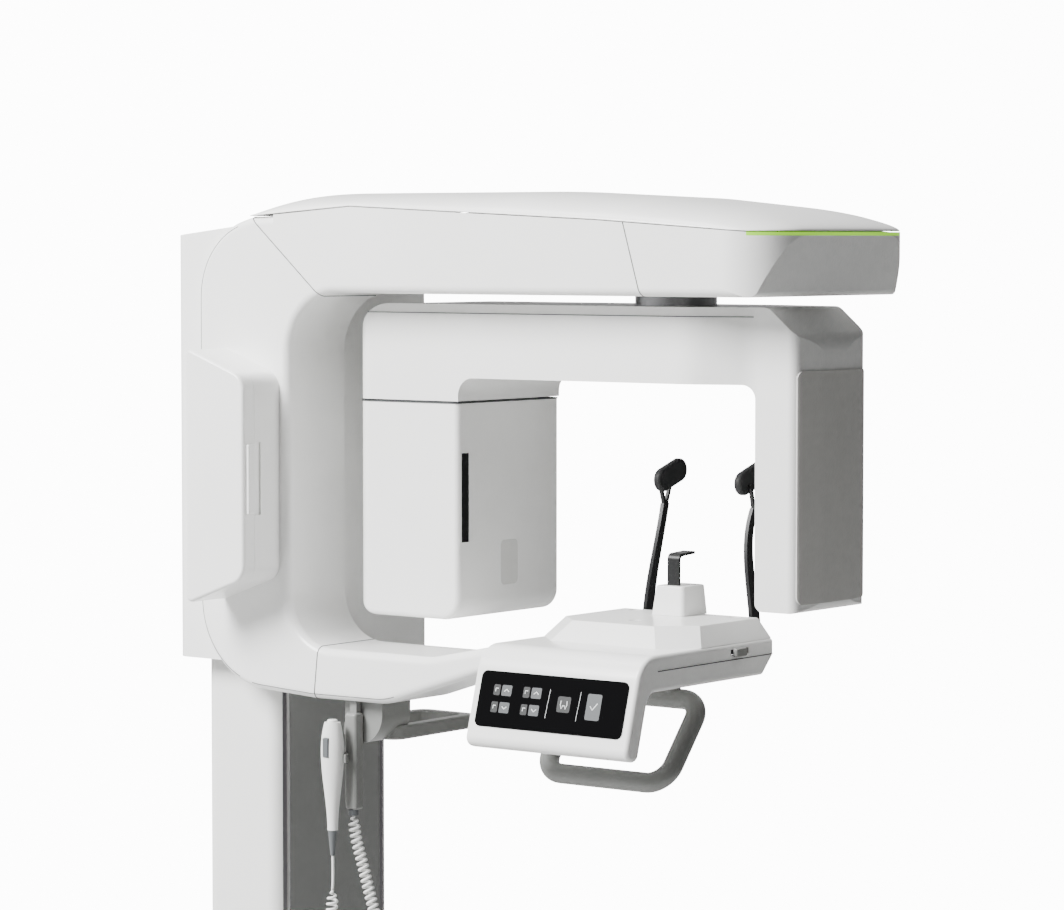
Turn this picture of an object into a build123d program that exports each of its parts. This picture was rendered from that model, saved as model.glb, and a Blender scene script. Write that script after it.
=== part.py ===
from build123d import *
import math
import os

# A panoramic dental x-ray machine. A motorised carriage climbs a fixed column and carries a C-shaped frame.
# The frame's upper arm holds the turning gantry, and its lower arm holds the console and the chin table.
# Millimetres. +X runs along the arms, +Y points at the patient, +Z is up, and the origin is on the floor
# below the column's centre. The carriage is drawn at the middle of its travel.

# ---------- Driving dimensions: the column ----------
column_width = 147
column_depth = 262
column_height = 1650
column_corner = 22
column_wall = 4
base_left = -160
base_right = 780
base_width = 620
base_thickness = 18
base_corner = 60
anchor_spacing_x = 840
anchor_spacing_y = 520
anchor_hole_radius = 7
rail_spacing = 224
rail_width = 9
rail_height = 8
channel_width = 14
channel_depth = 12

# ---------- Driving dimensions: the carriage and its casing ----------
lift_travel = 220
shell_wall = 4
plan_wall = 4.1
casing_left = -103
casing_right = 123
casing_front = -164
casing_back = 172
casing_bottom = 1250
casing_top_left = 1886
casing_top_right = 1912
casing_corner = 24
carriage_plate_thickness = 12
running_clearance = 0.05
part_clearance = 1

# ---------- Driving dimensions: the C-shaped frame ----------
frame_front = -190
frame_depth = 128
frame_outer_x = -32
frame_inner_x = 146
frame_edge_radius = 12
frame_lower_seam_x = 191
arm_half_width = 190
arm_end_x = 998
arm_end_slant = 38
arm_bottom = 1803
arm_corner = 80
arm_cap_x = 751
rim_root = 1928
rim_middle = 1907
rim_end = 1891
crown_root = 1948
crown_end = 1912
crown_half_width = 105
lid_gap = 0.3
light_height = 5
lower_arm_bottom = 1209
lower_arm_top = 1284

# ---------- Driving dimensions: the gantry ----------
gantry_x = 708
gantry_gap = 15
gantry_rim = 13
beam_height = 106
generator_inner = 298
generator_thickness = 194
generator_width = 242
generator_bottom = 1331
generator_seam = 1647
detector_inner = 195
detector_thickness = 73
detector_width = 178
detector_bottom = 1372
hub_radius = 58
bearing_bore = 45
bearing_outer_radius = 75
pulley_radius = 78
motor_pulley_radius = 13
motor_y = 130

# ---------- Driving dimensions: the table, console and supports ----------
table_width = 276
table_back = 45
table_top = 1321
table_thickness = 50
table_wall = 3
console_bend_y = -272
console_drop = 140
console_tilt = 16
console_thickness = 30
chin_plate_height = 28
chin_plate_front = -150
chin_plate_half = 115
chin_box_width = 56
chin_box_depth = 64
chin_box_height = 42
bite_width = 20
bite_thickness = 4
bite_height = 45
bite_reach = 40
pad_spacing = 148
pad_z = 1541
pad_y = 86
pad_tilt = 18
temple_pivot_spacing = 188
temple_pivot_z = 1304
handle_radius = 14
handle_front_y = -188
handle_back_y = -98
handle_low_z = 1138
handle_high_z = 1244
handle_left = 614
handle_right_inset = 23

# ---------- Driving dimensions: the storage door and the hand switch ----------
side_grip_left = 190
side_grip_right = 303
side_grip_front = -132
side_grip_back = 66
side_grip_bar = 20
side_grip_low = 1149
side_grip_height = 21
housing_left = 232
housing_right = 302
housing_front = -163
housing_back = -98
door_front = -271
door_thickness = 25
door_left = 17
door_right = 130
door_top = 1723
door_bottom = 1344
door_slope = 42
switch_x = 243
switch_y = -205
switch_top = 1180
switch_length = 158
relief_length = 37
lead_radius = 2
coil_radius = 9

# ---------- Derived places ----------
half_w = column_width / 2
half_d = column_depth / 2
gantry_top = arm_bottom - gantry_gap
beam_bottom = gantry_top - beam_height
generator_face = gantry_x - generator_inner
generator_back = generator_face - generator_thickness
detector_face = gantry_x + detector_inner
detector_back = detector_face + detector_thickness
table_left = gantry_x - table_width / 2
table_right = gantry_x + table_width / 2
table_bottom = table_top - table_thickness
chin_plate_top = table_top + chin_plate_height
frame_back = frame_front + frame_depth
switch_bottom = switch_top - switch_length
lead_top = switch_bottom - relief_length
tall = 3000


# ---------- Helpers ----------
def along_y(face, low, high):
    """Extrudes a face drawn in X and Z between two values of Y."""
    return extrude(Plane.XZ.offset(-high) * face, amount=high - low)


def along_x(face, low, high):
    """Extrudes a face drawn in Y and Z between two values of X."""
    return extrude(Plane.YZ.offset(low) * face, amount=high - low)


def along_z(face, low, high):
    """Extrudes a face drawn in X and Y between two heights."""
    return extrude(Plane.XY.offset(low) * face, amount=high - low)


def block(x_low, x_high, y_low, y_high, z_low, z_high):
    """A box between its lowest and highest corners."""
    size = (x_high - x_low, y_high - y_low, z_high - z_low)
    middle = ((x_low + x_high) / 2, (y_low + y_high) / 2, (z_low + z_high) / 2)
    return Pos(*middle) * Box(*size)


def soft_block(x_low, x_high, y_low, y_high, z_low, z_high, radius):
    """A box with every edge rounded."""
    body = block(x_low, x_high, y_low, y_high, z_low, z_high)
    return fillet(body.edges(), radius)


def polygon(points, radii):
    """A closed face with a radius at each corner."""
    return make_face(FilletPolyline(*points, radius=radii, close=True))


def upright(x, y, z_low, z_high, radius):
    """A vertical cylinder between two heights."""
    return Pos(x, y, (z_low + z_high) / 2) * Cylinder(radius, z_high - z_low)


def lying_y(x, z, y_low, y_high, radius):
    """A cylinder along Y."""
    return Pos(x, (y_low + y_high) / 2, z) * Rot(90, 0, 0) * Cylinder(radius, y_high - y_low)


def lying_x(y, z, x_low, x_high, radius):
    """A cylinder along X."""
    return Pos((x_low + x_high) / 2, y, z) * Rot(0, 90, 0) * Cylinder(radius, x_high - x_low)


def edges_at_y(body, y):
    """The edges that lie in the plane of one Y."""
    return body.edges().filter_by(
        lambda e: abs(e.bounding_box().min.Y - y) < 0.01 and abs(e.bounding_box().max.Y - y) < 0.01
    )


# ---------- The fixed column ----------
def channel_faces(extra):
    """The two rail channels' sections, grown by a wall on the sides that are inside the column."""
    depth = channel_depth + extra
    faces = [
        Pos(half_w - depth / 2, side * rail_spacing / 2) * Rectangle(depth, channel_width + 2 * extra)
        for side in (-1, 1)
    ]
    return faces[0] + faces[1]


def make_column_shell():
    outer = RectangleRounded(column_width, column_depth, column_corner)
    inside = RectangleRounded(
        column_width - 2 * column_wall, column_depth - 2 * column_wall, column_corner - column_wall
    )
    walls = channel_faces(column_wall) & outer
    section = outer - inside + walls - channel_faces(0)
    return along_z(section, base_thickness, column_height)


def make_base_plate():
    """The free-standing foot: a long steel plate that reaches below the arms, with four anchor holes."""
    middle = (base_left + base_right) / 2
    length = base_right - base_left
    plate = along_z(Pos(middle, 0) * RectangleRounded(length, base_width, base_corner), 0, base_thickness)
    plate = fillet(plate.faces().sort_by(Axis.Z)[-1].edges(), 3)
    for x in (middle - anchor_spacing_x / 2, middle + anchor_spacing_x / 2):
        for y in (-anchor_spacing_y / 2, anchor_spacing_y / 2):
            plate -= upright(x, y, -1, base_thickness + 1, anchor_hole_radius)
    return plate


def make_guide_rails():
    floor_x = half_w - channel_depth
    rails = [
        block(floor_x, floor_x + rail_height, y - rail_width / 2, y + rail_width / 2, 30, column_height - 10)
        for y in (-rail_spacing / 2, rail_spacing / 2)
    ]
    return Compound(children=rails)


rod_radius = 12
actuator_radius = 20
gearbox_top = 150
actuator_top = 1400
bridge_bottom = 1876
bridge_top = 1884
bore_bottom = casing_bottom - lift_travel - 260
rod_bottom = bore_bottom + lift_travel + 10


def make_actuator_motor():
    gearbox = upright(0, 0, base_thickness, gearbox_top, 34)
    motor = upright(0, 70, base_thickness, gearbox_top - 20, 26)
    return gearbox + motor + block(-12, 12, 20, 60, base_thickness, 50)


def make_actuator_tube():
    tube = upright(0, 0, gearbox_top, actuator_top, actuator_radius)
    return tube - upright(0, 0, bore_bottom, actuator_top + 1, rod_radius + running_clearance)


def make_actuator_rod():
    return upright(0, 0, rod_bottom, bridge_bottom, rod_radius)


# ---------- The carriage inside the casing ----------
plate_x = half_w + 12.5
spacer_heights = (1290, 1470, 1650, 1830)
spacer_y = -88
spacer_size = 40


def make_carriage_plate():
    """The upright plate behind the casing's wall, with the four spacers that carry the C frame."""
    body = block(plate_x, plate_x + carriage_plate_thickness, -122, 122, casing_bottom + 6, bridge_bottom)
    half = spacer_size / 2
    for z in spacer_heights:
        body += block(
            plate_x + carriage_plate_thickness,
            post_left,
            spacer_y - half,
            spacer_y + half,
            z - half,
            z + half,
        )
    return body


def make_slider_blocks():
    """Four shoes that hold the carriage to the rails, with a groove in each for its rail."""
    shoes = []
    for y in (-rail_spacing / 2, rail_spacing / 2):
        for low in (1254, 1372):
            shoe = block(half_w - channel_depth + 2, plate_x, y - 6.5, y + 6.5, low, low + 50)
            groove = block(
                half_w - channel_depth,
                half_w - channel_depth + rail_height + running_clearance,
                y - rail_width / 2 - running_clearance,
                y + rail_width / 2 + running_clearance,
                low,
                low + 50,
            )
            shoes.append(shoe - groove)
    return Compound(children=shoes)


def make_lift_bridge():
    """The plate over the column's top that ties the actuator's rod to the carriage."""
    return block(-30, plate_x + carriage_plate_thickness, -60, 60, bridge_bottom, bridge_top)


def casing_solid(inset):
    """The casing's outside, or with an inset its inside."""
    low = casing_bottom if inset == 0 else casing_bottom - 10
    side = polygon(
        [
            (casing_left + inset, low),
            (casing_right - inset, low),
            (casing_right - inset, casing_top_right - inset),
            (casing_left + inset, casing_top_left - inset),
        ],
        [0, 0, 6, 12],
    )
    width = casing_right - casing_left - 2 * inset
    depth = casing_back - casing_front - 2 * inset
    plan = Pos((casing_left + casing_right) / 2, (casing_front + casing_back) / 2) * RectangleRounded(
        width, depth, casing_corner - inset
    )
    return along_y(side, -300, 300) & along_z(plan, 0, tall)


def make_casing():
    shell = casing_solid(0) - casing_solid(shell_wall)
    half = spacer_size / 2 + part_clearance
    for z in spacer_heights:
        near = spacer_y - half
        far = spacer_y + half
        shell -= block(casing_right - 10, casing_right + 5, near, far, z - half, z + half)
    return shell


# ---------- The C-shaped frame ----------
def rim_height(x):
    """The height of the upper arm's side walls: a gentle fall from the root to the end."""
    if x <= 265:
        return rim_root + (x - 265) * 0.073
    if x <= gantry_x:
        return rim_root + (rim_middle - rim_root) * (x - 265) / (gantry_x - 265)
    if x <= 950:
        return rim_middle + (rim_end - rim_middle) * (x - gantry_x) / (950 - gantry_x)
    return rim_end


def crown_height(x):
    """The height of the upper arm's flat top along its middle."""
    if x <= 540:
        return crown_root
    return crown_root + (crown_end - crown_root) * (x - 540) / (arm_end_x - 540)


def frame_profile():
    """The C in side view, with its upper end reaching inside the arm and its lower end at the table."""
    return polygon(
        [
            (420, rim_height(420)),
            (74, rim_height(74)),
            (frame_outer_x, 1885),
            (frame_outer_x, 1222),
            (frame_lower_seam_x, lower_arm_bottom),
            (330, lower_arm_bottom + 1),
            (504, table_bottom - 4),
            (table_left, table_bottom),
            (table_left, table_top - 4),
            (410, lower_arm_top),
            (frame_inner_x, lower_arm_top),
            (frame_inner_x, arm_bottom),
            (420, arm_bottom),
        ],
        [0, 60, 118, 130, 0, 120, 60, 0, 0, 120, 75, 90, 0],
    )


def arm_plan():
    """The upper arm from above: a long rectangle with rounded outer corners and a bowed end."""
    return polygon(
        [
            (casing_right - shell_wall, -arm_half_width),
            (arm_end_x - 4, -arm_half_width),
            (arm_end_x, 0),
            (arm_end_x - 4, arm_half_width),
            (casing_right - shell_wall, arm_half_width),
        ],
        [0, arm_corner, 900, arm_corner, 40],
    )


def arm_profile(top_lift):
    """The arm's side view under its rim, or with a lift the open space above it too."""
    points = [
        (casing_right - shell_wall, arm_bottom),
        (arm_end_x - arm_end_slant, arm_bottom),
        (arm_end_x, rim_end),
        (950, rim_end),
        (gantry_x, rim_middle),
        (265, rim_root - lid_gap),
        (casing_right - shell_wall, rim_height(casing_right) - 2 * lid_gap),
    ]
    if top_lift > 0:
        lifted = [(x, z + top_lift) for x, z in points[3:]]
        points = points[:3] + [(arm_end_x, rim_end + top_lift)] + lifted
    return polygon(points, [0, frame_edge_radius] + [0] * (len(points) - 2))


def arm_section():
    """The arm seen from its end, with rounded lower edges and an open top."""
    return polygon(
        [
            (-arm_half_width, arm_bottom),
            (arm_half_width, arm_bottom),
            (arm_half_width, arm_bottom + 300),
            (-arm_half_width, arm_bottom + 300),
        ],
        [frame_edge_radius, frame_edge_radius, 0, 0],
    )


def frame_shell():
    """The frame's whole skin, before the seams divide it."""
    c_body = along_y(frame_profile(), frame_front, frame_back)
    c_body = fillet(edges_at_y(c_body, frame_front), frame_edge_radius)
    c_inner = along_y(offset(frame_profile(), -shell_wall), frame_front + shell_wall, frame_back - shell_wall)
    arm = along_y(arm_profile(0), -400, 400) & along_z(arm_plan(), 0, tall)
    arm &= along_x(arm_section(), 0, 1200)
    arm_inner = along_y(offset(arm_profile(60), -shell_wall), -400, 400)
    arm_inner &= along_z(offset(arm_plan(), -plan_wall), 0, tall)
    skin = (c_body + arm) - c_inner - arm_inner - casing_solid(0)
    skin -= block(table_left - 12, table_left + 5, -152, -88, table_bottom + 6, table_bottom + 28)
    gap = 4
    return skin - block(-half_w - 60, half_w + gap, -half_d - gap, 0, 1000, casing_bottom)


def upper_seam():
    """The region of the upper arm, on the right of the slanting seam."""
    return along_y(
        make_face(
            Polyline(
                (74, 2100),
                (74, 1914),
                (205, arm_bottom - 2),
                (1200, arm_bottom - 2),
                (1200, 2100),
                close=True,
            )
        ),
        -400,
        400,
    )


def cap_region():
    """The region of the end cap, beyond the arm's second seam."""
    return along_y(
        make_face(
            Polyline(
                (arm_cap_x, 2100),
                (arm_cap_x, rim_middle),
                (arm_cap_x + 31, arm_bottom - 2),
                (1200, arm_bottom - 2),
                (1200, 2100),
                close=True,
            )
        ),
        -400,
        400,
    )


def lower_region():
    """The region of the lower arm, beyond a seam that leans a little."""
    outline = Polyline(
        (frame_lower_seam_x - 3, 1150),
        (frame_lower_seam_x + 17, 1340),
        (frame_lower_seam_x + 30, 1500),
        (table_left + 50, 1500),
        (table_left + 50, 1150),
        close=True,
    )
    return along_y(make_face(outline), -400, 400)


hub_opening_radius = 90


def split_frame():
    """Cuts the skin into the C cover, the lower arm, the upper arm, the end cap and the light strip."""
    skin = frame_shell()
    skin -= upright(gantry_x, 0, arm_bottom - 10, arm_bottom + 20, hub_opening_radius)
    above = skin & upper_seam()
    below = skin - upper_seam()
    beyond = lower_region()
    lower = below & beyond
    c_cover = below - beyond
    cap = above & cap_region()
    arm = above - cap_region()
    light_zone = block(950, arm_end_x + 10, -300, 300, rim_end - light_height, rim_end)
    light = cap & light_zone
    cap = cap - light_zone
    return c_cover, lower, arm, cap, light


def cover_loft(drop, side_inset, stretch):
    """The arm's lid, lofted through six-sided sections from the root to the end."""
    sections = []
    for x in (74 - stretch, 265, 540, gantry_x, 950, arm_end_x + stretch):
        rim = rim_height(x)
        base = rim - (20 if drop else 0)
        crown = crown_height(x) - drop
        half = arm_half_width - side_inset
        points = [
            (-half, base),
            (half, base),
            (half, rim + 7 - drop),
            (crown_half_width, crown),
            (-crown_half_width, crown),
            (-half, rim + 7 - drop),
        ]
        sections.append(Plane.YZ.offset(x) * make_face(Polyline(*points, close=True)))
    return loft(sections, ruled=True)


def cover_plan():
    return polygon(
        [
            (74, -arm_half_width),
            (arm_end_x - 4, -arm_half_width),
            (arm_end_x, 0),
            (arm_end_x - 4, arm_half_width),
            (74, arm_half_width),
        ],
        [0, arm_corner, 900, arm_corner, 40],
    )


def make_arm_lid():
    lid = cover_loft(0, 0, 2) & along_z(cover_plan(), 0, tall)
    inside = cover_loft(shell_wall, shell_wall, 2) & along_z(offset(cover_plan(), -plan_wall), 0, tall)
    return lid - inside


post_left = casing_right + part_clearance
post_right = frame_inner_x - shell_wall - part_clearance
beam_low = 1852
beam_high = 1880


def make_arm_chassis():
    """The welded steel skeleton: an upright plate, the upper arm's box beam and the lower arm's bent bar."""
    front = frame_front + shell_wall + part_clearance
    back = frame_back - shell_wall - part_clearance
    post = block(post_left, post_right, front, back, 1226, beam_high)
    beam = block(post_right + 14, 930, -70, 70, beam_low, beam_high)
    beam -= block(post_right + 30, 914, -62, 62, beam_low - 1, beam_high - 4)
    root = block(post_right, post_right + 14, front, 70, beam_low, beam_high)
    low = lower_arm_bottom + 14
    side = make_face(
        Polyline(
            (post_right, low),
            (330, low),
            (510, table_bottom + 8),
            (table_right - 20, table_bottom + 8),
            (table_right - 20, table_bottom + 26),
            (500, table_bottom + 26),
            (325, low + 26),
            (post_right, low + 26),
            close=True,
        )
    )
    return post + beam + root + along_y(side, -150, -90)


# ---------- The stage that carries the gantry ----------
plate_low = 1830
plate_high = 1840
stage_rail_low = beam_low - 10
stage_rail_x = 90


def make_stage_rails():
    rails = [
        block(gantry_x + x - 6, gantry_x + x + 6, -75, 75, stage_rail_low, beam_low)
        for x in (-stage_rail_x, stage_rail_x)
    ]
    return Compound(children=rails)


def make_stage_plate():
    """The plate that shifts the turning centre, with four shoes round the rails."""
    plate = block(gantry_x - 115, gantry_x + 115, -80, 160, plate_low, plate_high)
    plate -= upright(gantry_x, 0, plate_low - 1, plate_high + 1, bearing_bore)
    plate -= upright(gantry_x, motor_y, plate_low - 1, plate_high + 1, 5)
    for x in (-stage_rail_x, stage_rail_x):
        for y in (-55, 55):
            shoe_top = beam_low - part_clearance
            shoe = block(gantry_x + x - 14, gantry_x + x + 14, y - 15, y + 15, plate_high, shoe_top)
            groove = block(
                gantry_x + x - 6 - running_clearance,
                gantry_x + x + 6 + running_clearance,
                y - 15,
                y + 15,
                stage_rail_low - running_clearance,
                beam_low,
            )
            plate += shoe - groove
    return plate


def make_bearing_outer():
    ring = upright(gantry_x, 0, 1819, plate_low, bearing_outer_radius)
    return ring - upright(gantry_x, 0, 1818, plate_low + 1, hub_radius + running_clearance)


def make_drive_motor():
    body = upright(gantry_x, motor_y, plate_high, plate_high + 46, 21)
    return body + upright(gantry_x, motor_y, plate_low, plate_high, 4.9)


belt_low = 1809
belt_high = 1817


def make_motor_pulley():
    wheel = upright(gantry_x, motor_y, belt_low, belt_high, motor_pulley_radius)
    return wheel + upright(gantry_x, motor_y, belt_high, plate_low - part_clearance, 4)


def belt_loop(extra):
    """The belt's outline: both pulleys' circles and their common tangents."""
    big = pulley_radius + extra
    small = motor_pulley_radius + extra
    lean = math.asin((big - small) / motor_y)
    side = Polyline(
        (big * math.cos(lean), big * math.sin(lean)),
        (small * math.cos(lean), motor_y + small * math.sin(lean)),
        (-small * math.cos(lean), motor_y + small * math.sin(lean)),
        (-big * math.cos(lean), big * math.sin(lean)),
        close=True,
    )
    return make_face(side) + Circle(big) + Pos(0, motor_y) * Circle(small)


def make_drive_belt():
    face = Pos(gantry_x, 0) * (belt_loop(2) - belt_loop(0.3))
    return along_z(face, belt_low + 0.5, belt_high - 0.5)


# ---------- The gantry ----------
def gantry_profile():
    """The gantry in side view: an inverted U with the generator on one leg and the sensor on the other."""
    return polygon(
        [
            (generator_back, generator_bottom),
            (generator_face, generator_bottom),
            (generator_face, beam_bottom),
            (detector_face, beam_bottom),
            (detector_face, detector_bottom),
            (detector_back, detector_bottom),
            (detector_back, gantry_top - 44),
            (detector_back - 52, gantry_top),
            (generator_back, gantry_top),
        ],
        [36, 30, 26, 20, 12, 16, 34, 20, 66],
    )


def gantry_plan():
    """The gantry from above: wide at the generator, narrow and bowed at the sensor."""
    half_g = generator_width / 2
    half_s = detector_width / 2
    return polygon(
        [
            (generator_back, -half_g),
            (detector_face - 90, -half_g),
            (detector_face - 8, -half_s),
            (detector_back - 8, -half_s),
            (detector_back, -half_s * 0.4),
            (detector_back, half_s * 0.4),
            (detector_back - 8, half_s),
            (detector_face - 8, half_s),
            (detector_face - 90, half_g),
            (generator_back, half_g),
        ],
        [30, 110, 70, 14, 90, 90, 14, 70, 110, 30],
    )


def gantry_shell():
    outer = along_y(gantry_profile(), -300, 300) & along_z(gantry_plan(), 0, tall)
    inner = along_y(offset(gantry_profile(), -shell_wall), -300, 300)
    inner &= along_z(offset(gantry_plan(), -plan_wall), 0, tall)
    return outer - inner


slit_y = -104
slit_width = 17
slit_low = 1444
slit_high = 1573
window_y = 0
window_width = 41
window_low = 1376
window_high = 1442


def split_gantry():
    """Cuts the gantry's skin into the generator cover, the beam, its lid and the sensor housing."""
    skin = gantry_shell()
    rim_z = gantry_top - gantry_rim
    sensor_zone = along_y(
        make_face(
            Polyline(
                (detector_face - 3, 2000),
                (detector_face - 3, rim_z),
                (detector_face + 30, rim_z - 22),
                (detector_face + 2, beam_bottom + 0.5),
                (detector_face - 3, beam_bottom - 40),
                (detector_face - 3, 1300),
                (1200, 1300),
                (1200, 2000),
                close=True,
            )
        ),
        -300,
        300,
    )
    sensor = skin & sensor_zone
    rest = skin - sensor_zone
    generator = rest & block(0, 600, -300, 300, 1200, generator_seam - 1)
    beam = rest & block(0, 1200, -300, 300, generator_seam + 1, rim_z)
    lid = rest & block(0, 1200, -300, 300, rim_z, 2000)
    lid -= upright(gantry_x, 0, rim_z - 10, gantry_top + 5, hub_radius + 4)
    corners = generator.edges().filter_by(Axis.Z).filter_by(
        lambda e: abs(e.center().X - generator_face) < 0.1
    )
    generator = fillet(corners, 8)
    slit_near = slit_y - slit_width / 2
    slit_far = slit_y + slit_width / 2
    generator -= block(generator_face - 3, generator_face + 5, slit_near, slit_far, slit_low, slit_high)
    hole = block(
        generator_face - 10,
        generator_face + 5,
        window_y - window_width / 2,
        window_y + window_width / 2,
        window_low,
        window_high,
    )
    generator -= fillet(hole.edges().filter_by(Axis.X), 8)
    return generator, beam, lid, sensor


def make_scan_windows():
    """The dark slit near the generator's edge and the rounded plug that the beam leaves through."""
    slit = block(
        generator_face - 3,
        generator_face - 0.5,
        slit_y - slit_width / 2,
        slit_y + slit_width / 2,
        slit_low,
        slit_high,
    )
    plug = block(
        generator_face - shell_wall,
        generator_face - 0.5,
        window_y - window_width / 2,
        window_y + window_width / 2,
        window_low,
        window_high,
    )
    plug = fillet(plug.edges().filter_by(Axis.X), 8)
    return Compound(children=[slit, plug])


def make_detector_panel():
    """The grey face plate on the sensor housing's bowed outer face."""
    zone = block(detector_face + 20, detector_back + 20, -84, 84, detector_bottom + 12, 1702)
    zone = fillet(zone.edges().filter_by(Axis.X), 10)
    skin = along_z(offset(gantry_plan(), 1.5), 0, tall) - along_z(gantry_plan(), 0, tall)
    return zone & skin


def make_sensor_panel():
    return block(detector_face + 8, detector_face + 26, -72, 72, 1385, 1640)


def make_tube_head():
    """The oil-filled tank that holds the x-ray tube."""
    tank = soft_block(generator_back + 22, generator_face - 40, -95, 95, 1358, 1600, 16)
    nose = lying_x(window_y, (window_low + window_high) / 2, generator_face - 40, generator_face - 24, 24)
    return tank + nose


def make_collimator():
    """The lead plate with the slot that shapes the beam."""
    y_mid = window_y
    z_mid = (window_low + window_high) / 2
    plate = block(generator_face - 24, generator_face - 14, y_mid - 34, y_mid + 34, z_mid - 42, z_mid + 42)
    return plate - block(generator_face - 30, generator_face, y_mid - 4, y_mid + 4, z_mid - 30, z_mid + 30)


frame_high = gantry_top - gantry_rim - 3


def make_gantry_frame():
    """The inverted U of thick aluminium that carries the generator and the sensor, with the hub on top."""
    left = generator_back + 60
    right = detector_face + 44
    side = make_face(
        Polyline(
            (left, 1602),
            (left + 14, 1602),
            (left + 14, frame_high - 22),
            (right - 10, frame_high - 22),
            (right - 10, 1380),
            (right, 1380),
            (right, frame_high - 25),
            (right - 25, frame_high),
            (left, frame_high),
            close=True,
        )
    )
    body = along_y(side, -58, 58)
    hub = upright(gantry_x, 0, frame_high, plate_low - part_clearance, hub_radius)
    bore = upright(gantry_x, 0, frame_high - 30, plate_low + 1, bearing_bore)
    return body + hub - bore


def make_gantry_pulley():
    ring = upright(gantry_x, 0, belt_low, belt_high, pulley_radius)
    return ring - upright(gantry_x, 0, belt_low - 1, belt_high + 1, hub_radius)


# ---------- The table and console ----------
def table_profile():
    """Table and console in side view, drawn in Y and Z: a slab that bends down into the leaning console."""
    lean = math.radians(console_tilt)
    down = (-math.sin(lean), -math.cos(lean))
    inward = (math.cos(lean), -math.sin(lean))
    toe = (console_bend_y + console_drop * down[0], table_top + console_drop * down[1])
    heel = (toe[0] + console_thickness * inward[0], toe[1] + console_thickness * inward[1])
    climb = (table_bottom - heel[1]) / down[1]
    throat = (heel[0] + climb * down[0], table_bottom)
    return polygon(
        [
            (table_back, table_top),
            (console_bend_y, table_top),
            toe,
            heel,
            throat,
            (table_back - 26, table_bottom),
            (table_back, table_bottom + 26),
        ],
        [4, 42, 13, 12, 22, 6, 6],
    )


console_seam_y = -236
table_seam_z = table_top - 22


def table_shell():
    outer = along_x(table_profile(), table_left, table_right)
    rounded = outer.edges().filter_by(
        lambda e: e.bounding_box().size.X < 0.01 and e.center().Y < console_seam_y + 60
    )
    outer = fillet(rounded, 6)
    inner = along_x(offset(table_profile(), -table_wall), table_left + table_wall, table_right - table_wall)
    skin = outer - inner
    return skin - block(table_left - 5, table_left + 10, -152, -88, table_bottom + 6, table_bottom + 28)


lever_y = -40
lever_slot_length = 46
lever_slot_height = 9
lever_z = table_top - 12


def split_table():
    """Cuts the table's skin into the tray, its top and the console."""
    skin = table_shell()
    front = block(table_left - 5, table_right + 5, -500, console_seam_y, 1000, 1400)
    console = skin & front
    body = skin - front
    tray = body & block(table_left - 5, table_right + 5, -500, 200, 1000, table_seam_z)
    top = body & block(table_left - 5, table_right + 5, -500, 200, table_seam_z, 1400)
    top -= block(
        table_right - 8,
        table_right + 5,
        lever_y - lever_slot_length / 2,
        lever_y + lever_slot_length / 2,
        lever_z - lever_slot_height / 2,
        lever_z + lever_slot_height / 2,
    )
    for side in (-1, 1):
        x = gantry_x + side * temple_pivot_spacing / 2
        top -= block(x - 26, x + 26, table_back - 8, table_back + 5, temple_pivot_z - 14, table_top + 5)
        tray -= block(x - 26, x + 26, table_back - 8, table_back + 5, temple_pivot_z - 14, table_top + 5)
    return tray, top, console


def make_touch_panel():
    """The glass touch panel, let a little into the console's leaning face."""
    lean = math.radians(console_tilt)
    along = 74
    centre = (console_bend_y - along * math.sin(lean), table_top - along * math.cos(lean))
    face = Plane(
        origin=(gantry_x, centre[0], centre[1]),
        x_dir=(1, 0, 0),
        z_dir=(0, -math.cos(lean), math.sin(lean)),
    )
    return extrude(face * RectangleRounded(250, 78, 9), amount=1.2)


def make_chin_plate():
    """The raised plate under the chin rest, with sloping sides, a socket and three grip-pin holes."""
    def ring(half, front, back, cut):
        return Polyline(
            (gantry_x - half, back),
            (gantry_x - half, front + cut),
            (gantry_x - half + cut, front),
            (gantry_x + half - cut, front),
            (gantry_x + half, front + cut),
            (gantry_x + half, back),
            close=True,
        )

    foot = ring(chin_plate_half + 20, chin_plate_front - 25, table_back - 3, 45)
    crest = ring(chin_plate_half, chin_plate_front, table_back - 8, 45)
    low = Plane.XY.offset(table_top) * make_face(foot)
    high = Plane.XY.offset(chin_plate_top) * make_face(crest)
    plate = loft([low, high], ruled=True)
    edges = plate.edges().filter_by(lambda e: e.bounding_box().min.Z > chin_plate_top - 0.1)
    plate = fillet(edges, 3)
    plate -= block(
        gantry_x - socket_half,
        gantry_x + socket_half,
        chin_box_y - socket_half_y,
        chin_box_y + socket_half_y,
        chin_plate_top - socket_depth,
        chin_plate_top + 5,
    )
    for x, y in ((0, -98), (-86, 22), (86, 22)):
        plate -= upright(gantry_x + x, y, chin_plate_top - 12, chin_plate_top + 1, 9)
    return plate


chin_box_y = 10
socket_half = 20
socket_half_y = 22
socket_depth = 12
bite_y = -4


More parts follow.
